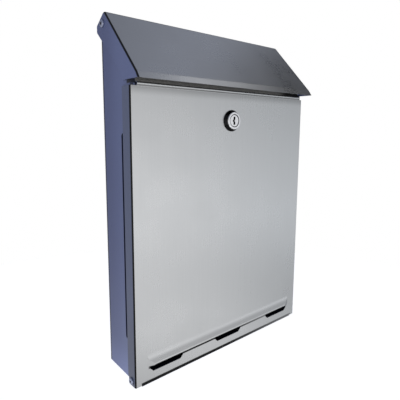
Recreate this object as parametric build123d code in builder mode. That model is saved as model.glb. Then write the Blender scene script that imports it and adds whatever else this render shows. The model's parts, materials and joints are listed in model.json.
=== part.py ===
from build123d import *

import os
from math import cos, radians, sin, tan

# A wall mounted mailbox folded from steel sheet: an open body, a bottom hinged door with a cam lock
# and a louvre over three sight notches, and a sloping lid that swings on two rivets at the back.
# +X is to the viewer's right, +Y into the wall and +Z up. The origin lies on the wall, in the middle
# of the four wall screws. Sizes are in millimetres and angles in degrees.

# Sheet and fits
sheet = 1.0               # thickness of the body, door and lid
bend = 1.0                # inside radius of a plain fold
side_gap = 0.8            # side wall to door flange or lid cheek
running_play = 0.05       # radial play of a turning pin
hole_play = 0.1           # radial play of the lock's barrel in the door

# Body
cover_width = 280.0       # outside of the door's flanges and of the lid's cheeks
body_depth = 61.2         # back wall to return flanges, outside
body_rise = 6.5           # body's underside above the door's lower edge
return_clear = 0.8        # folds beside the door opening to the door's top fold
standoff = 8.0            # back wall to the building's wall
slot_width = 6.0          # long slot in each side, beside the door's flange
slot_height = 227.0
slot_rise = 52.0          # slot's lower end above the door's lower edge
slot_lap = 0.3            # door flange's rear edge to the slot

# Bottom pan
pan_flange = 12.0         # upright folds at the sides and back
pan_lip = 6.0             # upright fold at the front
pan_notch_clear = 1.0     # front corner notches to the door hinge's rivets
drain_radius = 2.5
drain_inset = 47.2        # drain holes to the inside of the side walls
drain_spacing_y = 30.0

# Wall screws and spacers
screw_rise = 200.0        # middle of the four screws above the door's lower edge
screw_inset = 48.2        # screws to the outside of the side walls
screw_spacing_z = 240.0
screw_radius = 2.75       # hole for a 5 mm screw
spacer_radius = 9.0
spacer_neck = 4.5         # radius of the neck in the back wall
spacer_rim = 7.0          # radius of the rim inside the back wall
spacer_rim_thick = 1.5

# Rivets and washers of both hinges
rivet_radius = 2.0
rivet_head_radius = 4.0
rivet_head_height = 1.6
rivet_dome = 1.3          # rounding of the head's rim
rivet_bulb_radius = 3.2
rivet_bulb_length = 3.0
rivet_core_radius = 0.9   # hole that the broken stem leaves
rivet_core_depth = 1.0
washer_radius = 4.0
washer_thick = 0.5
head_gap = 0.3            # rivet head to the sheet that turns under it

# Door
door_height = 330.0
door_gap = 0.4            # door's inner face to the return flanges
door_flange = 15.5        # depth of the side flanges
door_tab = 14.0           # depth of the side flanges beside the hinge
door_tab_height = 9.0
door_tab_slope = 3.0      # slope between the tab and the full flange
corner_relief = 8.0       # top and bottom folds stop this far from the door's sides
corner_cut = 1.6          # corners end this far above the door's lower edge
bead_height = 4.0         # bead pressed out along the door's top
bead_out = 1.5
bead_bend = 1.5           # outside radius of the bead's lower folds
top_bend = 1.6            # outside radius of the top fold
bottom_bend = 5.0
bottom_flange = 5.5
door_pivot_inset = 8.0    # hinge line behind the door's front
door_pivot_rise = 7.0     # hinge line above the door's lower edge
hinge_ear = 5.0           # radius of the body's ears at the door hinge

# Louvre and sight notches in the door
louvre_length = 249.0
louvre_rise = 21.5        # louvre's open edge above the door's lower edge
louvre_height = 10.0
louvre_out = 3.0          # how far the louvre's edge stands out
louvre_end = 9.0          # run of each pointed end
louvre_edge = 2.2         # height of the louvre's upright edge
louvre_blend = 20.0       # rounding between the door's panel and the louvre
louvre_round = 4.0        # rounding along the louvre's crest
louvre_roll = 1.2         # rounding under the louvre's edge
louvre_lead = 4.0         # height above the louvre that the rounding may take
notch_width = 46.0
notch_height = 8.0
notch_chamfer = 4.0
notch_spacing = 97.5
notch_count = 3

# Lid
lid_overhang = 17.0       # lid's front edge ahead of the door
lid_gap = 1.6             # lid's front edge above the door's top
lid_pitch = 47.0          # main plate, from level
lip_pitch = 56.0          # lower band of the plate, from level
lip_length = 8.0
lip_bend = 12.0           # radius between plate and band
lip_hem = 6.5             # edge turned under the band
hem_relief = 4.0          # hem stops this far from the cheeks
ridge_inset = 11.4        # ridge ahead of the back wall
ridge_bend = 4.0          # outside radius of the ridge
rear_pitch = 34.0         # rear flange, from level
wall_clear = 2.6          # rear ears of the cheeks to the building's wall
ear_height = 8.6          # upright rear edge of a cheek
cheek_foot = 32.5         # level lower edge of a cheek
cheek_step = 7.0          # upright edge behind the foot
cheek_round = 2.5
lid_pivot_inset = 8.0     # lid's hinge line ahead of the back wall
lid_pivot_drop = 12.8     # lid's hinge line below the ridge
ear_clear = 0.7           # body's upper ears to the lid's rear flange
back_drop = 6.0           # back wall's top below the lid's hinge line

# Lid buffers on the body's sloping edges
buffer_length = 16.0
buffer_width = 4.0        # thickness inside the side wall
buffer_leg = 8.0          # height below the edge
buffer_gap = 0.3          # buffer to the closed lid
buffer_inset = 14.0       # buffer's middle behind the return flanges

# Lock
lock_drop = 36.0          # lock's axis below the door's top
rosette_radius = 12.85
rosette_foot = 0.8
rosette_out = 4.1
face_radius = 10.3
face_thick = 1.2
barrel_radius = 9.0
barrel_flats = 16.0       # width across the barrel's two flats
barrel_length = 17.0      # barrel's rear end behind the door's front
plug_face_radius = 7.0
plug_face_thick = 2.6
plug_bevel = 0.6          # bevel of the face ring around the plug
plug_round = 0.3          # rounding of the plug's face
plug_recess = 0.4         # plug's face behind the lock's face
plug_radius = 5.5
plug_end_play = 0.3
key_height = 9.0
key_width = 2.2
key_jog = 1.5             # sideways step in the middle of the keyhole
key_step = 1.8            # half the height of that step
key_depth = 12.0
nut_across = 24.0
nut_thick = 4.0
nut_chamfer = 1.2
tooth_radius = 12.5
tooth_thick = 1.0
tooth_count = 12
tang_width = 7.0
cam_thick = 2.0
cam_hub_radius = 9.0
cam_reach = 27.0
cam_nose = 12.0
cam_screw_radius = 2.0
cam_screw_length = 8.0
cam_head_radius = 4.0
cam_head_thick = 2.5
cam_washer_radius = 5.0
cam_washer_thick = 0.8

# Lock rail across the body, behind the door's top
rail_clear = 16.0         # cam's end to the rail's top, inside
rail_front = 28.0         # height of the front strip, which shows over the door
rail_rear = 25.0          # height of the rear strip that the cam goes behind
cam_clear = 0.4           # rear strip to the cam
rail_gap = 0.4            # front strip to the door's top fold

# Levels and faces that the pieces share
cover_half = cover_width / 2
side_outer = cover_half - sheet - side_gap
side_inner = side_outer - sheet
screw_spacing_x = 2 * (side_outer - screw_inset)
drain_spacing_x = 2 * (side_inner - drain_inset)
back_face = -standoff
back_inner = back_face - sheet
body_front = back_face - body_depth
door_front = body_front - door_gap - sheet
door_bottom = -screw_rise
door_top = door_bottom + door_height
body_bottom = door_bottom + body_rise
flange_rear = door_front + door_flange
return_width = corner_relief - sheet - side_gap - return_clear
door_pivot = (door_front + door_pivot_inset, door_bottom + door_pivot_rise)

# Corners of the lid's section, as (Y, Z)
tip = (door_front - lid_overhang, door_top + lid_gap)
lip_top = (
    tip[0] + lip_length * cos(radians(lip_pitch)),
    tip[1] + lip_length * sin(radians(lip_pitch)),
)
ridge_y = back_face - ridge_inset
ridge = (ridge_y, lip_top[1] + (ridge_y - lip_top[0]) * tan(radians(lid_pitch)))
rear_y = -wall_clear
rear = (rear_y, ridge[1] - (rear_y - ridge_y) * tan(radians(rear_pitch)))
lid_pivot = (back_face - lid_pivot_inset, ridge[1] - lid_pivot_drop)

# Distances from the lid's hinge line to the inner faces of its plate and rear flange
pivot_ahead = lid_pivot[0] - ridge[0]
plate_distance = (
    pivot_ahead * sin(radians(lid_pitch)) + lid_pivot_drop * cos(radians(lid_pitch)) - sheet
)
rear_distance = (
    lid_pivot_drop * cos(radians(rear_pitch)) - pivot_ahead * sin(radians(rear_pitch)) - sheet
)
ear_radius = rear_distance - ear_clear
edge_start = (
    lid_pivot[0] - ear_radius * sin(radians(lid_pitch)),
    lid_pivot[1] + ear_radius * cos(radians(lid_pitch)),
)
back_top = lid_pivot[1] - back_drop


def edge_height(y):
    """Height of the side wall's sloping edge at a given Y."""
    return edge_start[1] - (edge_start[0] - y) * tan(radians(lid_pitch))


lock_height = door_top - lock_drop
lock_plane = Plane(origin=(0, door_front, lock_height), x_dir=(1, 0, 0), z_dir=(0, -1, 0))
cam_front = door_front + barrel_length + plug_end_play
sides = {"left": -1, "right": 1}

os.makedirs("parts", exist_ok=True)


def write(part, name):
    """Label a finished piece and write it to its own file."""
    part.label = name
    export_step(part, f"parts/{name}.step")


def barrel_outline(play):
    """Round outline of the lock's barrel with its two flats, grown by the play."""
    Circle(barrel_radius + play)
    Rectangle(barrel_flats + 2 * play, 2 * (barrel_radius + play), mode=Mode.INTERSECT)


# Body: one sheet folded into the back, the sides and the return flanges beside the door opening
hinge_foot = door_pivot[1] - hinge_ear
slot_middle = (
    flange_rear + slot_lap + slot_width / 2,
    door_bottom + slot_rise + slot_height / 2,
)
with BuildPart() as body_shell:
    with BuildSketch(Plane.XY.offset(hinge_foot)):
        with BuildLine():
            FilletPolyline(
                (return_width - side_outer, body_front),
                (-side_outer, body_front),
                (-side_outer, back_face),
                (side_outer, back_face),
                (side_outer, body_front),
                (side_outer - return_width, body_front),
                radius=bend + sheet,
            )
            offset(amount=sheet, side=Side.RIGHT)
        make_face()
    extrude(amount=lid_pivot[1] + ear_radius - hinge_foot)
    with BuildSketch(Plane.YZ):
        with BuildLine():
            Polyline(
                (door_pivot[0] - hinge_ear, body_bottom),
                (body_front, body_bottom),
                (body_front, edge_height(body_front)),
                edge_start,
            )
            ThreePointArc(
                edge_start,
                (lid_pivot[0], lid_pivot[1] + ear_radius),
                (lid_pivot[0] + ear_radius, lid_pivot[1]),
            )
            Polyline(
                (lid_pivot[0] + ear_radius, lid_pivot[1]),
                (lid_pivot[0] + ear_radius, back_top),
                (back_face, back_top),
                (back_face, body_bottom),
                (door_pivot[0] + hinge_ear, body_bottom),
            )
            ThreePointArc(
                (door_pivot[0] + hinge_ear, body_bottom),
                (door_pivot[0], hinge_foot),
                (door_pivot[0] - hinge_ear, body_bottom),
            )
        make_face()
    extrude(amount=cover_half, both=True, mode=Mode.INTERSECT)
    with BuildSketch(Plane.YZ):
        with Locations(lid_pivot, door_pivot):
            Circle(rivet_radius)
        with Locations(slot_middle):
            SlotOverall(slot_height, slot_width, rotation=90)
    extrude(amount=cover_half, both=True, mode=Mode.SUBTRACT)
    with BuildSketch(Plane.XZ.offset(standoff)):
        with GridLocations(screw_spacing_x, screw_spacing_z, 2, 2):
            Circle(spacer_neck)
    extrude(amount=sheet, mode=Mode.SUBTRACT)
write(body_shell.part, "body_shell")

# Bottom pan: a tray that closes the body's underside, with drain holes
pan_front = body_front + sheet
pan_middle = (pan_front + back_inner) / 2
notch_x = rivet_bulb_length + pan_notch_clear
notch_y = door_pivot[0] + rivet_bulb_radius + pan_notch_clear - pan_front
with BuildPart() as bottom_pan:
    with BuildSketch(Plane.XY.offset(body_bottom)):
        with Locations((0, pan_middle)):
            RectangleRounded(2 * side_inner, back_inner - pan_front, bend + sheet)
    extrude(amount=pan_flange)
    fillet(bottom_pan.faces().sort_by(Axis.Z)[0].edges(), bend + sheet)
    offset(amount=-sheet, openings=bottom_pan.faces().sort_by(Axis.Z)[-1])
    with BuildSketch(Plane.YZ):
        with Locations((pan_front, body_bottom + pan_lip)):
            Rectangle(2 * sheet + bend, pan_flange, align=(Align.MIN, Align.MIN))
    extrude(amount=cover_half, both=True, mode=Mode.SUBTRACT)
    with BuildSketch(Plane.XY.offset(body_bottom)):
        with Locations((0, pan_front)):
            with GridLocations(2 * side_inner, 0, 2, 1):
                Rectangle(2 * notch_x, 2 * notch_y)
    extrude(amount=pan_flange, mode=Mode.SUBTRACT)
    with BuildSketch(Plane.XY.offset(body_bottom)):
        with Locations((0, pan_middle)):
            with GridLocations(drain_spacing_x, drain_spacing_y, 2, 2):
                Circle(drain_radius)
    extrude(amount=sheet, mode=Mode.SUBTRACT)
write(bottom_pan.part, "bottom_pan")

# Lock rail: an inverted channel welded behind the return flanges, which the cam goes behind
rail_top = lock_height + cam_reach + rail_clear + sheet
with BuildPart() as lock_rail:
    with BuildSketch(Plane.YZ):
        with BuildLine():
            FilletPolyline(
                (body_front + sheet, rail_top - rail_front),
                (body_front + sheet, rail_top),
                (cam_front - cam_clear, rail_top),
                (cam_front - cam_clear, rail_top - rail_rear),
                radius=bend + sheet,
            )
            offset(amount=sheet, side=Side.RIGHT)
        make_face()
    extrude(amount=side_inner - bend, both=True)
write(lock_rail.part, "lock_rail")

# Wall spacers: collars that hold the back wall off the building, snapped into it by a neck and rim
for row, z in {"lower": -screw_spacing_z / 2, "upper": screw_spacing_z / 2}.items():
    for side, sign in sides.items():
        wall_spot = Plane(origin=(sign * screw_spacing_x / 2, 0, z), x_dir=(1, 0, 0), z_dir=(0, -1, 0))
        with BuildPart() as wall_spacer:
            with BuildSketch(wall_spot):
                Circle(spacer_radius)
            extrude(amount=standoff)
            chamfer(wall_spacer.faces().sort_by(Axis.Y)[-1].edges(), sheet)
            with BuildSketch(wall_spot.offset(standoff)):
                Circle(spacer_neck)
            extrude(amount=sheet)
            with BuildSketch(wall_spot.offset(standoff + sheet)):
                Circle(spacer_rim)
            extrude(amount=spacer_rim_thick)
            with BuildSketch(wall_spot):
                Circle(screw_radius)
            extrude(amount=standoff + sheet + spacer_rim_thick, mode=Mode.SUBTRACT)
        write(wall_spacer.part, f"wall_spacer_{row}_{side}")

# Hinge rivets, set in the body's ears, and the washers between the ears and what turns on them
rivet_grip = head_gap + sheet + side_gap + sheet
for hinge, (pivot_y, pivot_z) in {"lid": lid_pivot, "door": door_pivot}.items():
    for side, sign in sides.items():
        head_seat = Plane(
            origin=(sign * (cover_half + head_gap), pivot_y, pivot_z), x_dir=(0, 1, 0), z_dir=(-sign, 0, 0)
        )
        with BuildPart() as rivet:
            with BuildSketch(head_seat):
                Circle(rivet_head_radius)
            extrude(amount=-rivet_head_height)
            outer_rim = rivet.faces().sort_by(Axis.X)[-1 if sign > 0 else 0].edges()
            fillet(outer_rim, rivet_dome)
            with BuildSketch(head_seat):
                Circle(rivet_radius)
            extrude(amount=rivet_grip)
            with BuildSketch(head_seat.offset(rivet_grip)):
                Circle(rivet_bulb_radius)
            extrude(amount=rivet_bulb_length)
            with BuildSketch(head_seat.offset(-rivet_head_height)):
                Circle(rivet_core_radius)
            extrude(amount=rivet_core_depth, mode=Mode.SUBTRACT)
        write(rivet.part, f"{hinge}_rivet_{side}")

        washer_seat = Plane(
            origin=(sign * side_outer, pivot_y, pivot_z), x_dir=(0, 1, 0), z_dir=(sign, 0, 0)
        )
        with BuildPart() as washer:
            with BuildSketch(washer_seat):
                Circle(washer_radius)
                Circle(rivet_radius, mode=Mode.SUBTRACT)
            extrude(amount=washer_thick)
        write(washer.part, f"{hinge}_washer_{side}")

# Lid buffers: rubber angles on the side walls' sloping edges, which the closed lid comes down on
buffer_height = plate_distance - ear_radius - buffer_gap
buffer_y = body_front + buffer_inset
slope_along = (0, cos(radians(lid_pitch)), sin(radians(lid_pitch)))
for side, sign in sides.items():
    edge_spot = Plane(
        origin=(sign * side_inner, buffer_y, edge_height(buffer_y)), x_dir=(sign, 0, 0), z_dir=slope_along
    )
    up = 1 if edge_spot.y_dir.Z > 0 else -1
    with BuildPart() as lid_buffer:
        with BuildSketch(edge_spot):
            with BuildLine():
                Polyline(
                    (0, 0),
                    (sheet, 0),
                    (sheet, up * buffer_height),
                    (-buffer_width, up * buffer_height),
                    (-buffer_width, -up * buffer_leg),
                    (0, -up * buffer_leg),
                    close=True,
                )
            make_face()
        extrude(amount=buffer_length / 2, both=True)
    write(lid_buffer.part, f"lid_buffer_{side}")

# Door: one folded sheet with side flanges, a rolled top, a bottom fold, a louvre and sight notches
louvre_foot = door_bottom + louvre_rise
louvre_top = louvre_foot + louvre_height
louvre_half = louvre_length / 2
louvre_plane = Plane(origin=(0, door_front, louvre_foot), x_dir=(1, 0, 0), z_dir=(0, -1, 0))


def louvre_section(skin):
    """Upright section through the louvre, from its open edge to its top, behind a given skin."""
    with BuildSketch(Plane.YZ) as section:
        with BuildLine():
            FilletPolyline(
                (skin, louvre_top + louvre_lead),
                (skin, louvre_top),
                (skin - louvre_out, louvre_foot + louvre_edge),
                (skin - louvre_out, louvre_foot),
                (skin + sheet, louvre_foot),
                radius=[louvre_blend, louvre_round, louvre_roll],
            )
            Polyline(
                (skin + sheet, louvre_foot),
                (skin + sheet, louvre_top + louvre_lead),
                (skin, louvre_top + louvre_lead),
            )
        make_face()
    return section.sketch


def louvre_plan(skin):
    """Level section between the louvre's sloping ends, running past its crest, behind a given skin."""
    reach = louvre_out + sheet
    with BuildSketch(Plane.XY.offset(louvre_foot)) as plan:
        with BuildLine():
            Polyline(
                (-louvre_half, skin + 2 * sheet),
                (-louvre_half, skin),
                (louvre_end * reach / louvre_out - louvre_half, skin - reach),
                (louvre_half - louvre_end * reach / louvre_out, skin - reach),
                (louvre_half, skin),
                (louvre_half, skin + 2 * sheet),
                close=True,
            )
        make_face()
    return plan.sketch


with BuildPart() as door_panel:
    with BuildSketch(Plane.YZ):
        with BuildLine():
            FilletPolyline(
                (door_front + bottom_flange, door_bottom),
                (door_front, door_bottom),
                (door_front, door_top - bead_height),
                (door_front - bead_out, door_top - bead_height + bead_out),
                (door_front - bead_out, door_top),
                (body_front + sheet - rail_gap, door_top),
                radius=[bottom_bend, bead_bend, bead_bend, top_bend],
            )
            offset(amount=sheet, side=Side.RIGHT)
        make_face()
    extrude(amount=cover_half - corner_relief, both=True)
    with BuildSketch(Plane.XY.offset(door_bottom + corner_cut)):
        with BuildLine():
            FilletPolyline(
                (cover_half - corner_relief, door_front),
                (cover_half, door_front),
                (cover_half, flange_rear),
                radius=bend + sheet,
            )
            offset(amount=sheet, side=Side.LEFT)
        make_face()
    extrude(amount=door_height - bead_height - corner_cut)
    mirror(about=Plane.YZ)
    with BuildSketch(Plane.YZ):
        with BuildLine():
            Polyline(
                (door_front + door_tab, door_bottom),
                (door_front + door_tab, door_bottom + door_tab_height),
                (flange_rear, door_bottom + door_tab_height + door_tab_slope),
                (flange_rear, door_bottom),
                close=True,
            )
        make_face()
        with Locations(door_pivot):
            Circle(rivet_radius + running_play)
    extrude(amount=cover_half, both=True, mode=Mode.SUBTRACT)
    for skin, mode in {door_front: Mode.ADD, door_front + sheet: Mode.SUBTRACT}.items():
        with BuildPart(mode=mode):
            extrude(louvre_section(skin), amount=cover_half, both=True)
            extrude(louvre_plan(skin), amount=2 * louvre_height, both=True, mode=Mode.INTERSECT)
    with BuildSketch(louvre_plane) as notches:
        with GridLocations(notch_spacing, 0, notch_count, 1):
            Rectangle(notch_width, notch_height, align=(Align.CENTER, Align.MAX))
        chamfer(notches.vertices().group_by(Axis.Y)[0], notch_chamfer)
    extrude(amount=-sheet, mode=Mode.SUBTRACT)
    with BuildSketch(lock_plane):
        barrel_outline(hole_play)
    extrude(amount=-sheet, mode=Mode.SUBTRACT)
write(door_panel.part, "door_panel")

# Lid: one folded sheet with a steeper hemmed front band, a rear flange and cheeks outside the body
cheek_toe = (tip[0] + cheek_foot, tip[1])
ear_low = (rear_y, rear[1] - ear_height)
lip_along = (cos(radians(lip_pitch)), sin(radians(lip_pitch)))
rear_along = (cos(radians(rear_pitch)), -sin(radians(rear_pitch)))
hem_start = (tip[0] + sheet * lip_along[1], tip[1] - sheet * lip_along[0])


def trim_to_lid():
    """Cut a section of the lid level at its front edge and upright at its rear edge."""
    with Locations((rear_y, tip[1])):
        Rectangle(rear_y - tip[0], ridge[1] - tip[1], align=(Align.MAX, Align.MIN), mode=Mode.INTERSECT)


def spans_lid(face):
    """True for the sloping faces that run from cheek to cheek."""
    size = face.bounding_box().size
    return size.X > cover_half and min(size.Y, size.Z) > running_play


with BuildPart() as lid_cover:
    with BuildSketch(Plane.YZ):
        with BuildLine():
            FilletPolyline(
                (tip[0] - sheet * lip_along[0], tip[1] - sheet * lip_along[1]),
                lip_top,
                ridge,
                (rear[0] + sheet * rear_along[0], rear[1] + sheet * rear_along[1]),
                radius=[lip_bend, ridge_bend],
            )
            offset(amount=sheet, side=Side.RIGHT)
        make_face()
        trim_to_lid()
    extrude(amount=cover_half, both=True)
    with BuildSketch(Plane.YZ.offset(cover_half - sheet)):
        with BuildLine():
            FilletPolyline(tip, lip_top, ridge, rear, radius=[lip_bend, ridge_bend])
            FilletPolyline(
                rear,
                ear_low,
                (cheek_toe[0], cheek_toe[1] + cheek_step),
                cheek_toe,
                tip,
                radius=cheek_round,
            )
        make_face()
    extrude(amount=sheet)
    mirror(about=Plane.YZ)
    for reach, radius in {cover_half - sheet: bend, cover_half: bend + sheet}.items():
        plates = lid_cover.faces().filter_by(spans_lid)
        folds = plates.edges().filter_by(lambda edge: abs(abs(edge.center().X) - reach) < running_play)
        fillet(folds, radius)
    with BuildSketch(Plane.YZ):
        with Locations(hem_start):
            Rectangle(lip_hem, sheet, rotation=lip_pitch, align=(Align.MIN, Align.MAX))
        trim_to_lid()
    extrude(amount=cover_half - sheet - hem_relief, both=True)
    with BuildSketch(Plane.YZ):
        with Locations(lid_pivot):
            Circle(rivet_radius + running_play)
    extrude(amount=cover_half, both=True, mode=Mode.SUBTRACT)
write(lid_cover.part, "lid_cover")

# Lock: a conical rosette, the barrel with its face ring, a toothed washer and a nut behind the door
lock_face = rosette_out + face_thick
plug_front = lock_face - plug_recess
plug_shoulder = plug_front - plug_face_thick
plug_rear = barrel_length + plug_end_play
cam_rear = plug_rear + cam_thick
with BuildPart() as lock_rosette:
    with BuildSketch(lock_plane):
        Circle(rosette_radius)
    extrude(amount=rosette_foot)
    with BuildSketch(lock_plane.offset(rosette_foot)):
        Circle(rosette_radius)
    with BuildSketch(lock_plane.offset(rosette_out)):
        Circle(face_radius)
    loft()
    with BuildSketch(lock_plane):
        Circle(barrel_radius)
    extrude(amount=rosette_out, mode=Mode.SUBTRACT)
write(lock_rosette.part, "lock_rosette")

with BuildPart() as lock_barrel:
    with BuildSketch(lock_plane.offset(rosette_out)):
        Circle(face_radius)
    extrude(amount=face_thick)
    fillet(lock_barrel.faces().sort_by(Axis.Y)[0].edges(), face_thick / 2)
    with BuildSketch(lock_plane):
        Circle(barrel_radius)
    extrude(amount=rosette_out)
    with BuildSketch(lock_plane):
        barrel_outline(0)
    extrude(amount=-barrel_length)
    with BuildSketch(lock_plane.offset(plug_shoulder - plug_end_play)):
        Circle(plug_face_radius + running_play)
    extrude(amount=lock_face, mode=Mode.SUBTRACT)
    chamfer(lock_barrel.faces().sort_by(Axis.Y)[0].inner_wires()[0].edges(), plug_bevel)
    with BuildSketch(lock_plane.offset(-barrel_length)):
        Circle(plug_radius + running_play)
    extrude(amount=barrel_length + lock_face, mode=Mode.SUBTRACT)
write(lock_barrel.part, "lock_barrel")

with BuildPart() as lock_tooth_washer:
    with BuildSketch(lock_plane.offset(-sheet)):
        Circle(tooth_radius)
        with PolarLocations(tooth_radius, tooth_count):
            Rectangle(tooth_thick, tooth_thick, rotation=45, mode=Mode.SUBTRACT)
        Circle(barrel_radius, mode=Mode.SUBTRACT)
    extrude(amount=-tooth_thick)
write(lock_tooth_washer.part, "lock_tooth_washer")

nut_seat = lock_plane.offset(-sheet - tooth_thick)
with BuildPart() as lock_nut:
    with BuildSketch(nut_seat):
        Circle(nut_across / 2 / cos(radians(30)))
    extrude(amount=-nut_thick)
    chamfer(lock_nut.faces().sort_by(Axis.Y)[-1].edges(), nut_chamfer)
    with BuildSketch(nut_seat):
        RegularPolygon(nut_across / 2, 6, major_radius=False)
        Circle(barrel_radius, mode=Mode.SUBTRACT)
    extrude(amount=-nut_thick, mode=Mode.INTERSECT)
write(lock_nut.part, "lock_nut")

# Plug that the key turns, with the cam, its washer and its screw on the plug's rear end
with BuildPart() as lock_plug:
    with BuildSketch(lock_plane.offset(plug_shoulder)):
        Circle(plug_face_radius)
    extrude(amount=plug_face_thick)
    fillet(lock_plug.faces().sort_by(Axis.Y)[0].edges(), plug_round)
    with BuildSketch(lock_plane.offset(-plug_rear)):
        Circle(plug_radius)
    extrude(amount=plug_rear + plug_shoulder)
    with BuildSketch(lock_plane.offset(-cam_rear)):
        Rectangle(tang_width, tang_width)
    extrude(amount=cam_thick)
    with BuildSketch(lock_plane.offset(-cam_rear)):
        Circle(cam_screw_radius)
    extrude(amount=cam_screw_length, mode=Mode.SUBTRACT)
    with BuildSketch(lock_plane.offset(plug_front)):
        with BuildLine():
            Polyline(
                (0, key_height / 2),
                (0, key_step),
                (-key_jog, 0),
                (0, -key_step),
                (0, -key_height / 2),
            )
        trace(line_width=key_width)
    extrude(amount=-key_depth, mode=Mode.SUBTRACT)
write(lock_plug.part, "lock_plug")

with BuildPart() as lock_cam:
    with BuildSketch(lock_plane.offset(-plug_rear)):
        Circle(cam_hub_radius)
        with Locations((cam_reach - cam_nose / 2, 0)):
            Circle(cam_nose / 2)
        make_hull()
        Rectangle(tang_width, tang_width, mode=Mode.SUBTRACT)
    extrude(amount=-cam_thick)
write(lock_cam.part, "lock_cam")

with BuildPart() as cam_washer:
    with BuildSketch(lock_plane.offset(-cam_rear)):
        Circle(cam_washer_radius)
        Circle(cam_screw_radius, mode=Mode.SUBTRACT)
    extrude(amount=-cam_washer_thick)
write(cam_washer.part, "cam_washer")

head_back = cam_rear + cam_washer_thick
with BuildPart() as cam_screw:
    with BuildSketch(lock_plane.offset(-head_back)):
        Circle(cam_head_radius)
    extrude(amount=-cam_head_thick)
    fillet(cam_screw.faces().sort_by(Axis.Y)[-1].edges(), cam_head_thick / 2)
    with BuildSketch(lock_plane.offset(-head_back)):
        Circle(cam_screw_radius)
    extrude(amount=cam_screw_length + cam_washer_thick)
write(cam_screw.part, "cam_screw")
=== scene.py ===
"""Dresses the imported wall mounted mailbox: its finishes, small fittings, studio and camera."""

import json
import logging
import math
from collections.abc import Iterable, Sequence
from dataclasses import dataclass
from enum import Enum
from functools import cache, partial, reduce
from typing import Any

import bmesh
import bpy
from mathutils import Matrix, Quaternion, Vector


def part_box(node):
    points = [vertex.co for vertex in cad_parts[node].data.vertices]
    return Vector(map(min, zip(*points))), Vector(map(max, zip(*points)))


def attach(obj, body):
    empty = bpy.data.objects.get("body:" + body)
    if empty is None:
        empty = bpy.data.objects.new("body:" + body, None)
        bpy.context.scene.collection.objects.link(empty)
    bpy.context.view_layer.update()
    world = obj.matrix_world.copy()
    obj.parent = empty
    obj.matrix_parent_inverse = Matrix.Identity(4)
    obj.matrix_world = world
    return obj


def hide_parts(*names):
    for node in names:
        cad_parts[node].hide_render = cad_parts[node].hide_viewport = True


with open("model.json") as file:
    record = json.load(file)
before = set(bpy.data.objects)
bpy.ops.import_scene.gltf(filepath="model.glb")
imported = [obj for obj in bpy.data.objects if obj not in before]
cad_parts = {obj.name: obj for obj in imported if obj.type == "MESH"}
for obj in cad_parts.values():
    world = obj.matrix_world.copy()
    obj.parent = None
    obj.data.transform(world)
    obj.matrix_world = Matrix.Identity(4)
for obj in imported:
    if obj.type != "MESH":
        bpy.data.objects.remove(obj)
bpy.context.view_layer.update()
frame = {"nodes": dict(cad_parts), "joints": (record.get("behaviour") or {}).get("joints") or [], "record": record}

LOG = logging.getLogger("mailbox")
MM = 0.001
QUARTER = math.pi / 2
SMOOTH_ANGLE = math.radians(35.0)
TOUCHING = 0.001 * MM

Colour = tuple[float, float, float]
Point = tuple[float, float, float]
Run = tuple[float, ...]
Socket = bpy.types.NodeSocket

BLACK: Colour = (0.0, 0.0, 0.0)
WHITE: Colour = (1.0, 1.0, 1.0)
PATCHY: Run = (0.3, 0.7)


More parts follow.
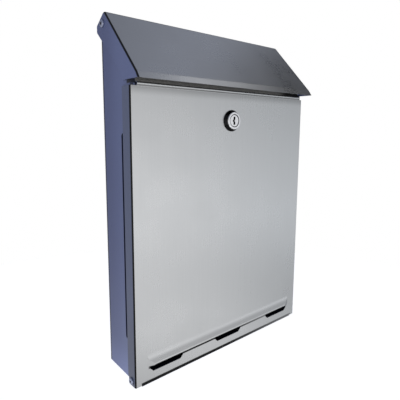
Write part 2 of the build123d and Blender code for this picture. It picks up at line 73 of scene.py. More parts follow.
class Graph:
    """A node tree that grows one node at a time."""

    def __init__(self, tree: bpy.types.NodeTree) -> None:
        """Start from an empty tree."""
        self.tree = tree
        tree.nodes.clear()

    def add(
        self, kind: str, inputs: dict[str | int, Any] | None = None, **options: Any
    ) -> bpy.types.Node:
        """Add a node, set its options, and set or link its inputs.

        Args:
            kind: Blender's name for the node.
            inputs: Values or sockets by input name or number.
            options: Settings of the node itself.

        Returns:
            The new node.
        """
        node = self.tree.nodes.new(kind)
        for name, value in options.items():
            setattr(node, name, value)
        for key, value in (inputs or {}).items():
            if isinstance(value, Socket):
                self.tree.links.new(value, node.inputs[key])
            else:
                node.inputs[key].default_value = value
        return node

    def maths(self, operation: str, *values: float | Socket) -> Socket:
        """Work out one number from others.

        Args:
            operation: Blender's name for the operation.
            values: Numbers or sockets, in order.

        Returns:
            The socket that holds the result.
        """
        return self.add("ShaderNodeMath", dict(enumerate(values)), operation=operation).outputs[0]

    def step(
        self, value: Socket, start: float, end: float, low: float = 0.0, high: float = 1.0
    ) -> Socket:
        """Ease from one level to another while a value crosses a range.

        Args:
            value: The value that is watched.
            start: Where the change begins.
            end: Where the change is complete.
            low: Result before the start.
            high: Result after the end.

        Returns:
            The socket that holds the eased level.
        """
        limits = {"Value": value, "From Min": start, "From Max": end, "To Min": low, "To Max": high}
        return self.add("ShaderNodeMapRange", limits, interpolation_type="SMOOTHSTEP").outputs["Result"]

    def window(self, value: Socket, low: float, high: float, edge: float) -> Socket:
        """Give 1 while a value lies in a range, with eased edges outside it.

        Args:
            value: The value that is watched.
            low: Lower end of the range.
            high: Upper end of the range.
            edge: Width of each eased edge.

        Returns:
            The socket that holds the share, from 0 to 1.
        """
        above = self.step(value, low - edge, low)
        return self.maths("MULTIPLY", above, self.step(value, high, high + edge, 1.0, 0.0))

    def most(self, *values: Socket) -> Socket:
        """Take the largest of some numbers."""
        return reduce(partial(self.maths, "MAXIMUM"), values)

    def times(self, *values: float | Socket) -> Socket:
        """Multiply some numbers."""
        return reduce(partial(self.maths, "MULTIPLY"), values)

    def radius(self, first: Socket, second: Socket) -> Socket:
        """Work out the distance from an axis, from two distances square to it."""
        squares = [self.maths("POWER", value, 2.0) for value in (first, second)]
        return self.maths("SQRT", self.maths("ADD", *squares))

    def profile(self, value: Socket, stops: Sequence[tuple[float, float]]) -> Socket:
        """Follow a curve of levels while a value goes from -1 to 1.

        Args:
            value: The value that is watched.
            stops: Places from -1 to 1 with their levels, in order.

        Returns:
            The socket that holds the level.
        """
        top = max(level for _, level in stops)
        node = self.add("ShaderNodeValToRGB", {0: self.maths("MULTIPLY_ADD", value, 0.5, 0.5)})
        ramp = node.color_ramp
        ramp.interpolation = "EASE"
        while len(ramp.elements) < len(stops):
            ramp.elements.new(0.5)
        for mark, (place, _) in zip(ramp.elements, stops):
            mark.position = 0.5 + place / 2
        for mark, (_, level) in zip(ramp.elements, stops):
            mark.color = opaque((level / top,) * 3)
        return self.maths("MULTIPLY", node.outputs[0], top)

    def mix(self, share: float | Socket, first: Any, second: Any) -> Socket:
        """Mix two colours.

        Args:
            share: How much of the second colour is taken.
            first: Colour at share 0.
            second: Colour at share 1.

        Returns:
            The socket that holds the mixed colour.
        """
        inputs = {0: share, 6: opaque(first), 7: opaque(second)}
        return self.add("ShaderNodeMix", inputs, data_type="RGBA").outputs[2]

    def between(self, share: float | Socket, first: float | Socket, second: float | Socket) -> Socket:
        """Mix two numbers.

        Args:
            share: How much of the second number is taken.
            first: Number at share 0.
            second: Number at share 1.

        Returns:
            The socket that holds the mixed number.
        """
        return self.add("ShaderNodeMix", {0: share, 2: first, 3: second}, data_type="FLOAT").outputs[0]

    def split(self, vector: Socket) -> tuple[Socket, Socket, Socket]:
        """Take a vector apart into its X, Y and Z sockets."""
        return tuple(self.add("ShaderNodeSeparateXYZ", {0: vector}).outputs)

    def noise(
        self, coords: Socket, scale: Point | float, detail: float = 2.0, rough: float = 0.5
    ) -> Socket:
        """Fixed noise, stretched where its scale differs by direction.

        Args:
            coords: Where the noise is read.
            scale: Cells to a metre, for all directions or for X, Y and Z.
            detail: Number of finer layers.
            rough: Strength of the finer layers.

        Returns:
            The socket that holds the noise, from 0 to 1.
        """
        spread = scale if isinstance(scale, tuple) else (scale, scale, scale)
        placed = self.add("ShaderNodeMapping", {"Vector": coords, "Scale": spread}).outputs[0]
        settings = {"Vector": placed, "Scale": 1.0, "Detail": detail, "Roughness": rough}
        return self.add("ShaderNodeTexNoise", settings).outputs[0]

    def relief(self, height: Socket, strength: float, depth: float) -> Socket:
        """Turn a height into a bumped normal.

        Args:
            height: The height, from 0 to 1.
            strength: Share of the bump that is used.
            depth: Height of a full step, in metres.

        Returns:
            The socket that holds the normal.
        """
        bump = {"Height": height, "Strength": strength, "Distance": depth}
        return self.add("ShaderNodeBump", bump).outputs[0]


def mm(*lengths: float) -> Run:
    """Millimetres as metres."""
    return tuple(length * MM for length in lengths)


def opaque(colour: Any) -> Any:
    """Add full opacity to a plain colour, and pass a socket on."""
    return colour if isinstance(colour, Socket) else (*colour, 1.0)


def lit(colour: Colour, gain: float) -> Colour:
    """Make a colour stronger or weaker, up to full strength."""
    return tuple(min(1.0, gain * part) for part in colour)


def hinge(name: str) -> Vector:
    """Where a joint of the record sits.

    Args:
        name: Name of the joint.

    Returns:
        A point on the joint's axis.
    """
    return next(Vector(joint["pos_m"]) for joint in frame["joints"] if joint["name"] == name)


class Grain(Enum):
    """How the brush marks run: cells to a metre of the fine and of the broad marks."""

    UPRIGHT = ((2600.0, 2600.0, 22.0), (420.0, 420.0, 5.0))
    LENGTHWAYS = ((22.0, 2600.0, 2600.0), (5.0, 420.0, 420.0))


@dataclass(frozen=True)
class Finish:
    """What every finish shares: a name and one procedural material."""

    name: str

    @cache
    def material(self) -> bpy.types.Material:
        """Make the material the first time it is asked for.

        Returns:
            The finish's material.
        """
        made = bpy.data.materials.new(self.name)
        made.use_nodes = True
        graph = Graph(made.node_tree)
        shader = graph.add("ShaderNodeBsdfPrincipled")
        graph.add("ShaderNodeOutputMaterial", {"Surface": shader.outputs[0]})
        for name, value in self.looks(graph).items():
            if isinstance(value, Socket):
                made.node_tree.links.new(value, shader.inputs[name])
            else:
                shader.inputs[name].default_value = value
        return made

    def looks(self, graph: Graph) -> dict[str, Any]:
        """Inputs of the surface shader, by name, which each kind of finish gives."""
        raise NotImplementedError


@dataclass(frozen=True)
class Patch:
    """Part of a sheet, where it is painted shade, or of the studio's dome, where it is light: its strength, and
    the runs over which it begins.

    A run of four numbers also says where the patch ends.
    """

    strength: float
    aside: Run | None = None
    depth: Run | None = None
    rise: Run | None = None
    reach: Run | None = None
    across: Run | None = None
    turn: Run | None = None
    tilt: Run | None = None

    def share(self, graph: Graph, spot: dict[str, Socket]) -> Socket:
        """How far a spot lies in the patch, from 0 to the patch's strength.

        Args:
            graph: The nodes of the material or of the world.
            spot: Sockets by the names of the runs.

        Returns:
            The socket that holds the share.
        """
        steps: list[Socket] = []
        for name, value in spot.items():
            run = getattr(self, name) or ()
            steps += [graph.step(value, *run[:2])] if run else []
            steps += [graph.step(value, *run[2:], 1.0, 0.0)] if len(run) > 2 else []
        return graph.times(*steps, self.strength)


def sheet_spot(graph: Graph) -> dict[str, Socket]:
    """Where a spot of a sheet lies and which way it faces.

    Args:
        graph: The material's nodes.

    Returns:
        Sockets by the names of a patch's runs.
    """
    source = graph.add("ShaderNodeTexCoord")
    aside, depth, rise = graph.split(source.outputs["Object"])
    sideways, fore, tilt = graph.split(source.outputs["Normal"])
    reach, across, turn = (graph.maths("ABSOLUTE", value) for value in (aside, sideways, fore))
    places = {"aside": aside, "depth": depth, "rise": rise, "reach": reach}
    return places | {"across": across, "turn": turn, "tilt": tilt}


# Painted shade on the satin coat: dark rear bends and dark rear edges on the box's sides, a painted shadow under
# each lid cheek's foot, and a dark front of the pan's floor, seen through the door's notches.
REAR_BEND = Patch(0.75, reach=mm(134.0, 135.5), turn=(0.25, 0.6))
REAR_EDGE = Patch(0.7, reach=mm(134.0, 135.5), depth=mm(-13.5, -10.8))
CHEEK_SHADOW = Patch(
    0.92, reach=mm(127.0, 129.0), depth=mm(-60.0, -64.0), rise=mm(127.4, 129.0, 132.0, 133.6)
)
PAN_FRONT = Patch(
    0.95, reach=mm(135.0, 133.0), depth=mm(-40.0, -50.0), rise=mm(-172.0, -176.0), tilt=(0.1, 0.5)
)
# Painted shade on the brushed sheets: dark folds at the sides, a painted shadow of the lid below the door's top
# bead, darker upward-tilted faces of the louvre, a painted dark reflection on the door's lower bend, and a painted
# shadow under the louvre's edge.
DOOR_FOLD = Patch(0.97, reach=mm(136.0, 137.0), across=(0.12, 0.34))
LID_FOLD = Patch(0.93, reach=mm(136.0, 137.0), across=(0.12, 0.34))
DOOR_BROW_SHADOW = Patch(0.32, rise=mm(116.0, 126.0, 126.0, 127.0))
DOOR_LOUVRE_SHADE = Patch(0.2, rise=mm(-100.0, -110.0), tilt=(0.1, 0.36))
DOOR_HEM = Patch(0.95, rise=mm(-165.0, -172.0), tilt=(-0.02, -0.2))
LOUVRE_SLIT = Patch(0.95, rise=mm(-182.3, -182.0, -178.4, -178.1), reach=mm(124.0, 121.0))


@dataclass(frozen=True)
class SatinPaint(Finish):
    """Satin coat on sheet steel with painted light that makes it paler toward the front and lighter or darker
    toward its foot, and with a fine peel, clouds and flecks.
    """

    deep: Colour
    pale: Colour
    sheen: Run = (0.34, 0.44)
    shine: float = 0.25
    peel_cells: float = 1100.0
    peel_depth: float = 0.03 * MM
    peel_strength: float = 0.35
    cloud_cells: float = 11.0
    cloud_share: float = 0.2
    gloss_run: Run = (0.25, 0.75)
    fleck_cells: float = 5200.0
    fleck_run: Run = (0.6, 0.85)
    fleck_most: float = 0.5
    fleck_gain: float = 2.2
    fleck_share: float = 0.2
    # Painted light: the coat grows paler toward the front, and lighter or darker toward its foot by the foot gain.
    front_run: Run = mm(-12.0, -60.0)
    foot_run: Run = mm(-150.0, -198.0)
    foot_gain: float = 1.0
    # Patches of painted shade that darken the coat.
    dark: tuple[Patch, ...] = (REAR_BEND, REAR_EDGE, CHEEK_SHADOW, PAN_FRONT)

    def coat(self, graph: Graph, coords: Socket) -> tuple[Socket, Socket, Socket]:
        """Colour, roughness and height of the coat.

        Args:
            graph: The material's nodes.
            coords: Object coordinates.

        Returns:
            Sockets of the colour, the roughness and the height.
        """
        cloud = graph.noise(coords, self.cloud_cells, detail=4.0, rough=0.6)
        peel = graph.noise(coords, self.peel_cells, detail=2.0)
        fleck = graph.noise(coords, self.fleck_cells, detail=1.0)
        _, depth, rise = graph.split(coords)
        # Painted light: paler toward the front, and lighter or darker toward the foot.
        front = graph.step(depth, *self.front_run)
        share = graph.between(self.cloud_share, front, graph.step(cloud, *PATCHY))
        plain = graph.mix(share, self.deep, self.pale)
        low = graph.mix(share, lit(self.deep, self.foot_gain), lit(self.pale, self.foot_gain))
        tone = graph.mix(graph.step(rise, *self.foot_run), plain, low)
        bright = graph.mix(self.fleck_share, tone, lit(self.pale, self.fleck_gain))
        colour = graph.mix(graph.step(fleck, *self.fleck_run, high=self.fleck_most), tone, bright)
        rough = graph.between(graph.step(cloud, *self.gloss_run), *self.sheen)
        return colour, rough, peel

    def looks(self, graph: Graph) -> dict[str, Any]:
        """Inputs for a coated sheet with its patches of painted shade.

        Args:
            graph: The material's nodes.

        Returns:
            Values or sockets by input name.
        """
        colour, rough, peel = self.coat(graph, graph.add("ShaderNodeTexCoord").outputs["Object"])
        spot = sheet_spot(graph)
        shade = graph.most(*(patch.share(graph, spot) for patch in self.dark))
        return {
            "Base Color": graph.mix(shade, colour, BLACK),
            "Roughness": rough,
            "Normal": graph.relief(peel, self.peel_strength, self.peel_depth),
            "Specular IOR Level": self.shine,
        }


@dataclass(frozen=True)
class BrushedSheet(Finish):
    """Brushed steel whose sides past the folds carry a satin coat."""

    dark: Colour
    light: Colour
    grain: Grain
    flank: SatinPaint
    # Patches of painted shade; the painted shade on the hems fades toward the right over the hem fade.
    shades: tuple[Patch, ...]
    hems: tuple[Patch, ...] = ()
    hem_fade: Run = mm(-10.0, 135.0)
    hem_left: float = 0.3
    sheen: Run = (0.26, 0.32)
    mark_depth: float = 0.01 * MM
    mark_strength: float = 0.03
    broad_share: float = 0.2
    gloss_run: Run = (0.2, 0.8)
    gloss_play: float = 0.012
    smudge_cells: float = 14.0
    coat_line: Run = (0.93, 0.985)

    def looks(self, graph: Graph) -> dict[str, Any]:
        """Inputs for brushed steel with coated flanks, with patches of painted shade, and with painted dark
        reflections and a painted shadow on its hems that fade to the right.

        Args:
            graph: The material's nodes.

        Returns:
            Values or sockets by input name.
        """
        coords = graph.add("ShaderNodeTexCoord").outputs["Object"]
        fine_cells, broad_cells = self.grain.value
        fine = graph.noise(coords, fine_cells, detail=3.0, rough=0.6)
        broad = graph.noise(coords, broad_cells, detail=3.0, rough=0.55)
        smudge = graph.noise(coords, self.smudge_cells, detail=5.0, rough=0.6)
        marks = graph.between(self.broad_share, fine, broad)
        steel = graph.mix(graph.step(marks, *PATCHY), self.dark, self.light)
        spot = sheet_spot(graph)
        # Painted shade, which on the hems fades toward the right.
        faded = graph.step(spot["aside"], *self.hem_fade, 1.0, self.hem_left)
        shades = [patch.share(graph, spot) for patch in self.shades]
        shades += [graph.times(patch.share(graph, spot), faded) for patch in self.hems]
        folded = graph.mix(graph.most(*shades), steel, BLACK)
        polish = graph.between(graph.step(smudge, *PATCHY), *self.sheen)
        play = graph.step(marks, *self.gloss_run, -self.gloss_play, self.gloss_play)
        rubbed = graph.maths("ADD", polish, play)
        coated = graph.step(spot["across"], *self.coat_line)
        coat, coat_rough, peel = self.flank.coat(graph, coords)
        height = graph.between(coated, marks, peel)
        return {
            "Base Color": graph.mix(coated, folded, coat),
            "Metallic": graph.maths("SUBTRACT", 1.0, coated),
            "Roughness": graph.between(coated, rubbed, coat_rough),
            "Specular IOR Level": self.flank.shine,
            "Normal": graph.relief(height, self.mark_strength, self.mark_depth),
        }


@dataclass(frozen=True)
class Plated(Finish):
    """Plated or bare metal of a small fitting, with turned or tumbled marks."""

    dark: Colour
    light: Colour
    sheen: Run
    mark_cells: Point = (900.0, 900.0, 900.0)
    blotch_cells: float = 260.0
    mark_depth: float = 0.006 * MM
    mark_strength: float = 0.4
    # Painted shade that darkens the fitting past a set spot along X.
    shadow_run: Run = (1.0, 2.0)
    shadow_strength: float = 0.9

    def looks(self, graph: Graph) -> dict[str, Any]:
        """Inputs for a small metal fitting, with painted shade past a set spot along X.

        Args:
            graph: The material's nodes.

        Returns:
            Values or sockets by input name.
        """
        coords = graph.add("ShaderNodeTexCoord").outputs["Object"]
        marks = graph.noise(coords, self.mark_cells, detail=3.0, rough=0.6)
        blotch = graph.noise(coords, self.blotch_cells, detail=3.0)
        rough = graph.between(graph.step(blotch, *PATCHY), *self.sheen)
        shadow = graph.step(graph.split(coords)[0], *self.shadow_run, high=self.shadow_strength)
        metal = graph.mix(graph.step(marks, *PATCHY), self.dark, self.light)
        return {
            "Base Color": graph.mix(shadow, metal, BLACK),
            "Metallic": 1.0,
            "Roughness": rough,
            "Normal": graph.relief(marks, self.mark_strength, self.mark_depth),
        }


@dataclass(frozen=True)
class LockPlate(Plated):
    """Plated face of the lock, with painted shade in a groove around its axis and deep in its keyway."""

    # Painted shade in the groove, past a set depth and in the keyway.
    groove: Run = mm(6.9, 7.7)
    groove_edge: float = 0.25 * MM
    shaded_depth: Run = (1.0, 2.0)
    shade: float = 0.94
    key_half: float = -1.0
    key_reach: float = 4.8 * MM
    key_jog: float = 1.5 * MM
    key_step: float = 1.8 * MM
    key_edge: float = 0.15 * MM

    def looks(self, graph: Graph) -> dict[str, Any]:
        """Inputs for a plated face with painted shade in its recesses.

        Args:
            graph: The material's nodes.

        Returns:
            Values or sockets by input name.
        """
        plain = super().looks(graph)
        axis = hinge("lock_turn")
        across, depth, rise = graph.split(graph.add("ShaderNodeTexCoord").outputs["Object"])
        aside = graph.maths("SUBTRACT", across, axis.x)
        above = graph.maths("SUBTRACT", rise, axis.z)
        ring = graph.window(graph.radius(aside, above), *self.groove, self.groove_edge)
        height = graph.maths("ABSOLUTE", above)
        slope = graph.maths("MULTIPLY_ADD", height, -1.0 / self.key_step, 1.0)
        jog = graph.maths("MAXIMUM", slope, 0.0)
        line = graph.maths("ABSOLUTE", graph.maths("MULTIPLY_ADD", jog, self.key_jog, aside))
        sides = graph.step(line, self.key_half, self.key_half + self.key_edge, 1.0, 0.0)
        ends = graph.step(height, self.key_reach, self.key_reach + self.key_edge, 1.0, 0.0)
        hidden = graph.most(ring, graph.step(depth, *self.shaded_depth), graph.times(sides, ends))
        dim = graph.times(hidden, self.shade)
        return plain | {"Base Color": graph.mix(dim, plain["Base Color"], BLACK)}


@dataclass(frozen=True)
class RivetHead(Plated):
    """Plated rivet head with painted shade around its broken stem."""

    # Painted shade around the stem.
    well: Run = mm(1.2, 1.9)
    shade: float = 0.97

    def looks(self, graph: Graph) -> dict[str, Any]:
        """Inputs for a rivet head with painted shade in its middle.

        Args:
            graph: The material's nodes.

        Returns:
            Values or sockets by input name.
        """
        plain = super().looks(graph)
        _, depth, rise = graph.split(graph.add("ShaderNodeTexCoord").outputs["Object"])
        wells = []
        for joint in ("lid_hinge", "door_hinge"):
            axis = hinge(joint)
            ahead = graph.maths("SUBTRACT", depth, axis.y)
            above = graph.maths("SUBTRACT", rise, axis.z)
            wells.append(graph.step(graph.radius(ahead, above), *self.well, self.shade, 0.0))
        return plain | {"Base Color": graph.mix(graph.most(*wells), plain["Base Color"], BLACK)}


@dataclass(frozen=True)
class Moulded(Finish):
    """Moulded rubber or nylon with a fine skin and dull patches."""

    dark: Colour
    light: Colour
    sheen: Run
    skin_cells: float = 2400.0
    patch_cells: float = 180.0
    skin_depth: float = 0.04 * MM
    skin_strength: float = 0.5

    def looks(self, graph: Graph) -> dict[str, Any]:
        """Inputs for a moulded piece.

        Args:
            graph: The material's nodes.

        Returns:
            Values or sockets by input name.
        """
        coords = graph.add("ShaderNodeTexCoord").outputs["Object"]
        skin = graph.noise(coords, self.skin_cells, detail=2.0)
        patch = graph.noise(coords, self.patch_cells, detail=3.0)
        return {
            "Base Color": graph.mix(graph.step(patch, *PATCHY), self.dark, self.light),
            "Roughness": graph.between(graph.step(skin, *PATCHY), *self.sheen),
            "Normal": graph.relief(skin, self.skin_strength, self.skin_depth),
        }


@dataclass(frozen=True)
class RubberWithPaintedReflection(Moulded):
    """Moulded rubber with a painted reflection that turns it grey toward its right end."""

    # Grey of the painted reflection, and where it grows.
    worn: Colour = (0.27, 0.27, 0.275)
    reflection_run: Run = mm(-10.0, 135.0)

    def looks(self, graph: Graph) -> dict[str, Any]:
        """Inputs for a strip with a painted reflection that greys it toward one end.

        Args:
            graph: The material's nodes.

        Returns:
            Values or sockets by input name.
        """
        plain = super().looks(graph)
        aside = graph.split(graph.add("ShaderNodeTexCoord").outputs["Object"])[0]
        worn = graph.mix(graph.step(aside, *self.reflection_run), plain["Base Color"], self.worn)
        return plain | {"Base Color": worn}


# The box's coat is painted lighter toward its foot, a painted light from below.
SLATE = SatinPaint("satin_slate_coat", (0.073, 0.091, 0.196), (0.119, 0.146, 0.284), foot_gain=1.4)
# The flanges' coat is painted darker toward its foot, a painted shade.
FLANGE_SLATE = SatinPaint(
    "satin_flange_coat",
    (0.081, 0.097, 0.162),
    (0.097, 0.115, 0.192),
    foot_gain=0.66,
    foot_run=mm(-80.0, -175.0),
)
DOOR_STEEL = BrushedSheet(
    "upright_brushed_steel",
    (0.49, 0.498, 0.508),
    (0.51, 0.518, 0.528),
    Grain.UPRIGHT,
    FLANGE_SLATE,
    shades=(DOOR_FOLD, DOOR_BROW_SHADOW, DOOR_LOUVRE_SHADE),
    hems=(DOOR_HEM, LOUVRE_SLIT),
)
LID_STEEL = BrushedSheet(
    "lengthways_brushed_steel",
    (0.475, 0.485, 0.5),
    (0.495, 0.505, 0.52),
    Grain.LENGTHWAYS,
    SLATE,
    shades=(LID_FOLD,),
)
BLACK_CHROME = Plated("black_chrome", (0.01, 0.01, 0.011), (0.024, 0.024, 0.026), (0.1, 0.2))
BRIGHT_CHROME = LockPlate("bright_chrome", (0.68, 0.68, 0.7), (0.82, 0.82, 0.84), (0.12, 0.2))
PLUG_NICKEL = LockPlate(
    "plug_nickel",
    (0.72, 0.72, 0.74),
    (0.86, 0.86, 0.87),
    (0.24, 0.36),
    shaded_depth=mm(-75.1, -74.7),
    key_half=1.45 * MM,
)
ZINC = Plated("zinc_plate", (0.42, 0.43, 0.45), (0.6, 0.6, 0.6), (0.3, 0.46), blotch_cells=420.0)
# The rail's dark colour stands in partly for the shade under the lid, and painted shade darkens its right end
# further.
RAIL_STEEL = Plated(
    "rail_steel", (0.16, 0.156, 0.152), (0.24, 0.233, 0.226), (0.34, 0.5), shadow_run=mm(88.0, 108.0)
)
RIVET_ALLOY = RivetHead("rivet_alloy", (0.3, 0.33, 0.45), (0.4, 0.44, 0.58), (0.3, 0.45))
# The stems are near black, a painted shade that stands in for the shadow in the rivets' hollow cores.
STEM_STEEL = Plated("stem_steel", (0.008, 0.008, 0.009), (0.02, 0.02, 0.021), (0.5, 0.7))
WAFER_BRASS = Plated("wafer_brass", (0.45, 0.3, 0.1), (0.6, 0.43, 0.17), (0.25, 0.4))
NYLON = Moulded("white_nylon", (0.62, 0.61, 0.57), (0.74, 0.73, 0.69), (0.42, 0.58))
# The drip bead's rubber is painted grey toward its right end, a painted reflection.
DRIP_RUBBER = RubberWithPaintedReflection("worn_rubber", (0.006, 0.006, 0.007), (0.012, 0.012, 0.013), (0.7, 0.85))
RUBBER = Moulded("black_moulded_rubber", (0.014, 0.014, 0.015), (0.028, 0.028, 0.029), (0.6, 0.82))


@dataclass(frozen=True)
class Place:
    """Where one of a row of fittings sits, and how its own Z is turned."""

    spot: Point
    turn: Point = (0.0, 0.0, 0.0)


class PieceTree(Graph):
    """A Geometry Nodes tree with named sizes that sets one shape on every place."""

    def __init__(self, name: str, finish: Finish, sizes: dict[str, float]) -> None:
        """Open the tree with one input for each size.

        Args:
            name: Name of the tree and of the piece that it makes.
            finish: What the piece is finished in.
            sizes: Sizes by name, in metres or as plain numbers.
        """
        super().__init__(bpy.data.node_groups.new(name, "GeometryNodeTree"))
        face = self.tree.interface
        face.new_socket("Geometry", in_out="INPUT", socket_type="NodeSocketGeometry")
        self.keys = {
            size: face.new_socket(size, in_out="INPUT", socket_type="NodeSocketFloat").identifier
            for size in sizes
        }
        face.new_socket("Geometry", in_out="OUTPUT", socket_type="NodeSocketGeometry")
        self.name, self.finish, self.sizes = name, finish, sizes
        self.inlet = self.add("NodeGroupInput")

    def size(self, name: str | Socket) -> Socket:
        """The socket of a named size; a socket is passed on."""
        return self.inlet.outputs[name] if isinstance(name, str) else name

    def spot(self, *parts: float | Socket) -> Socket:
        """A vector made of its X, Y and Z."""
        return self.add("ShaderNodeCombineXYZ", dict(enumerate(parts))).outputs[0]

    def solid(self, kind: str, **inputs: Any) -> Socket:
        """Add a mesh or curve primitive or an operation, named by the last part of its kind.

        Args:
            kind: Blender's name after the GeometryNode prefix.
            inputs: Values or sockets, with underscores for the spaces in their names.

        Returns:
            The geometry socket that it gives.
        """
        named = {key.replace("_", " "): value for key, value in inputs.items()}
        return self.add(f"GeometryNode{kind}", named).outputs[0]

    def ring(self, sides: int, radius: str | Socket) -> Socket:
        """A round curve."""
        return self.solid("CurvePrimitiveCircle", Resolution=sides, Radius=self.size(radius))

    def rod(self, sides: int, radius: str, depth: str) -> Socket:
        """A round bar along Z, about its middle."""
        length = self.size(depth)
        return self.solid("MeshCylinder", Vertices=sides, Radius=self.size(radius), Depth=length)

    def cone(self, sides: int, bottom: str, top: str | Socket, depth: str) -> Socket:
        """A cut cone that stands on its bottom."""
        ends = {"Radius_Bottom": self.size(bottom), "Radius_Top": self.size(top)}
        return self.solid("MeshCone", Vertices=sides, Depth=self.size(depth), **ends)

    def sweep(self, line: Socket, section: Socket, capped: bool = False) -> Socket:
        """Draw a section along a line."""
        return self.solid("CurveToMesh", Curve=line, Profile_Curve=section, Fill_Caps=capped)

    def raised(self, shape: Socket, rise: Socket) -> Socket:
        """Lift a shape along Z."""
        return self.solid("Transform", Geometry=shape, Translation=self.spot(0.0, 0.0, rise))

    def join(self, *shapes: Socket) -> Socket:
        """Join shapes into one geometry.

        Args:
            shapes: The geometry sockets, in order.

        Returns:
            The socket of the joined geometry.
        """
        node = self.add("GeometryNodeJoinGeometry")
        for shape in shapes:
            self.tree.links.new(shape, node.inputs[0])
        return node.outputs[0]

    def grow(self, shape: Socket, places: Iterable[Place]) -> bpy.types.Object:
        """Set the shape on the places, and turn the result into a plain mesh.

        Args:
            shape: The shape that repeats.
            places: Where it goes.

        Returns:
            The object, at the origin, with its place in its mesh.
        """
        turn = self.add("GeometryNodeInputNamedAttribute", {"Name": "turn"}, data_type="FLOAT_VECTOR")
        points = self.inlet.outputs["Geometry"]
        set_out = self.solid("InstanceOnPoints", Points=points, Instance=shape, Rotation=turn.outputs[0])
        real = self.solid("RealizeInstances", Geometry=set_out)
        dressed = self.solid("SetMaterial", Geometry=real, Material=self.finish.material())
        self.add("NodeGroupOutput", {0: dressed})
        marks = list(places)
        mesh = bpy.data.meshes.new(f"{self.name}_places")
        mesh.from_pydata([place.spot for place in marks], [], [])
        turns = mesh.attributes.new("turn", "FLOAT_VECTOR", "POINT")
        turns.data.foreach_set("vector", [angle for place in marks for angle in place.turn])
        piece = link(self.name, mesh)
        grown = piece.modifiers.new(self.name, "NODES")
        grown.node_group = self.tree
        for size, key in self.keys.items():
            grown[key] = self.sizes[size]
        graph = bpy.context.evaluated_depsgraph_get()
        plain = bpy.data.meshes.new_from_object(piece.evaluated_get(graph))
        piece.modifiers.clear()
        piece.data = plain
        bpy.data.meshes.remove(mesh)
        plain.name = self.name
        smooth(plain)
        return piece


def link(name: str, mesh: bpy.types.Mesh) -> bpy.types.Object:
    """Put a mesh into the scene as an object at the origin.

    Args:
        name: Name of the object.
        mesh: Its mesh.

    Returns:
        The object.
    """
    made = bpy.data.objects.new(name, mesh)
    bpy.context.scene.collection.objects.link(made)
    return made


def smooth(mesh: bpy.types.Mesh) -> None:
    """Shade a mesh smooth, with its folds kept sharp."""
    mesh.polygons.foreach_set("use_smooth", [True] * len(mesh.polygons))
    mesh.set_sharp_from_angle(angle=SMOOTH_ANGLE)


def dress(nodes: Iterable[str], finish: Finish) -> None:
    """Give CAD nodes a finish.

    Args:
        nodes: Names of the nodes.
        finish: What they are finished in.
    """
    for name in nodes:
        node = frame["nodes"][name]
        if not node.material_slots:
            node.data.materials.append(None)
        for slot in node.material_slots:
            slot.link = "OBJECT"
            slot.material = finish.material()
        LOG.info("%s: %s", name, finish.name)


def settle(piece: bpy.types.Object, body: str) -> None:
    """Let a new piece ride on its body.

    Args:
        piece: The finished piece.
        body: Name of the CAD body.
    """
    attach(piece, body)
    LOG.info("%s: %d faces on %s", piece.name, len(piece.data.polygons), body)


class Dressing:
    """What every dressed sub-assembly shares."""

    def sizes(self, *names: str) -> dict[str, float]:
        """Some of its sizes, under plain names for the inputs of a tree."""
        return {name.replace("_", " ").capitalize(): getattr(self, name) for name in names}


